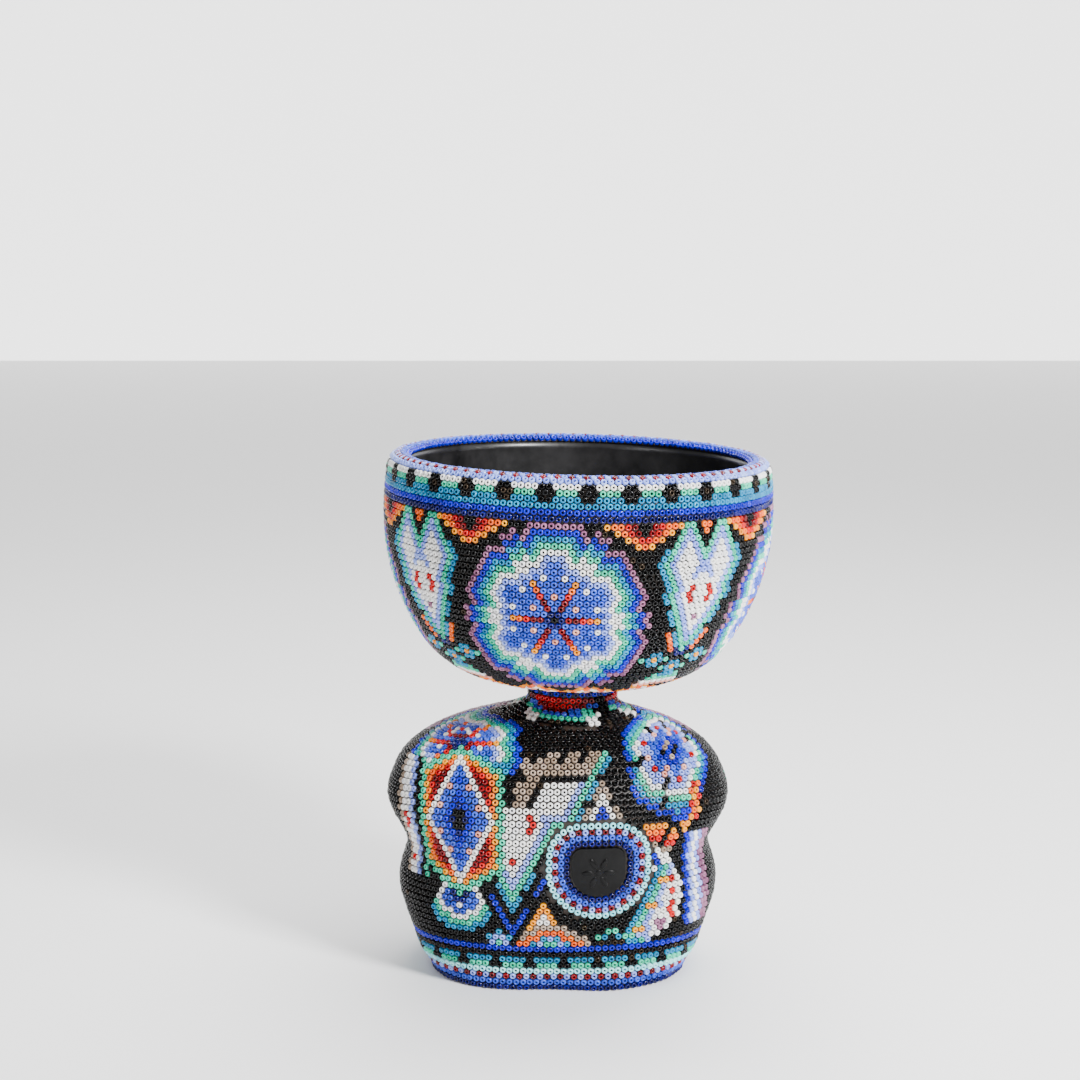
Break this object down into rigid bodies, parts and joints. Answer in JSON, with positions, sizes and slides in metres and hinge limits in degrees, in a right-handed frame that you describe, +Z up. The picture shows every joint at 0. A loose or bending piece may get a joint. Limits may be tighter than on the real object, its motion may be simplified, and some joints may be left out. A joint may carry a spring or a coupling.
{
  "type": "beaded seated figure with a bowl head",
  "caption": "Seated clay figure covered in glass seed beads, with an open round bowl in place of its head.",
  "frame": {"origin": "on the table under the middle of the whole object, which is under the widest circle of the bowl", "axes": "+Z up out of the bowl, the figure's back faces -Y, +X to the right of a viewer who looks at its back"},
  "size_m": [0.1248, 0.1248, 0.1697],
  "materials": {
    "clay": "burnished black low-fired clay",
    "wax": "beeswax and pine resin, satin",
    "glass_black": "opaque glossy glass seed beads",
    "glass_navy": "opaque glossy glass seed beads",
    "glass_cobalt": "opaque glossy glass seed beads",
    "glass_periwinkle": "opaque glossy glass seed beads",
    "glass_pale_blue": "opaque glossy glass seed beads",
    "glass_turquoise": "opaque glossy glass seed beads",
    "glass_mint": "opaque glossy glass seed beads",
    "glass_red": "opaque glossy glass seed beads",
    "glass_orange": "opaque glossy glass seed beads",
    "glass_yellow": "opaque glossy glass seed beads",
    "glass_white": "opaque glossy glass seed beads",
    "glass_taupe": "lined glossy glass seed beads"
  },
  "bodies": {
    "root": {"beads_border_1_navy": "glass_navy", "beads_border_2_periwinkle": "glass_periwinkle", "beads_border_3_checks": "glass_red", "beads_border_4_pale": "glass_pale_blue", "beads_border_5_mint": "glass_mint", "beads_border_6_turquoise": "glass_turquoise", "beads_border_7_black": "glass_black", "beads_border_8_cobalt": "glass_cobalt", "beads_bowl_ground": "glass_black", "beads_deer_and_antler": "glass_taupe", "beads_deer_back_left": "glass_white", "beads_deer_back_right": "glass_white", "beads_deer_front_left": "glass_white", "beads_deer_front_right": "glass_white", "beads_drop": "glass_mint", "beads_feathers": "glass_orange", "beads_figure_ground": "glass_black", "beads_flank_deer": "glass_white", "beads_flower_back": "glass_periwinkle", "beads_flower_front": "glass_periwinkle", "beads_flower_left": "glass_periwinkle", "beads_flower_right": "glass_periwinkle", "beads_foot_rows": "glass_cobalt", "beads_foot_zigzag": "glass_yellow", "beads_knee_left": "glass_mint", "beads_knee_right": "glass_mint", "beads_lip_1_cobalt": "glass_cobalt", "beads_lip_2_periwinkle": "glass_periwinkle", "beads_lip_3_checks": "glass_red", "beads_lip_4_pale": "glass_pale_blue", "beads_lozenge": "glass_periwinkle", "beads_mountain": "glass_yellow", "beads_neck_collar": "glass_red", "beads_plaque_1_navy": "glass_navy", "beads_plaque_2_periwinkle": "glass_periwinkle", "beads_plaque_3_checks": "glass_red", "beads_plaque_4_pale": "glass_pale_blue", "beads_rim_1_flowers": "glass_white", "beads_rim_2_turquoise": "glass_turquoise", "beads_rim_3_cobalt": "glass_cobalt", "beads_rim_4_navy": "glass_navy", "beads_scallops": "glass_orange", "beads_shin_flower": "glass_turquoise", "beads_shoulder_left": "glass_periwinkle", "beads_shoulder_right": "glass_periwinkle", "beads_sprig_back_left": "glass_turquoise", "beads_sprig_back_right": "glass_turquoise", "beads_sprig_front_left": "glass_turquoise", "beads_sprig_front_right": "glass_turquoise", "clay_bowl": "clay", "clay_figure": "clay", "maker_plaque": "clay", "neck_lute": "clay", "wax_bowl": "wax", "wax_figure": "wax"}
  },
  "joints": []
}
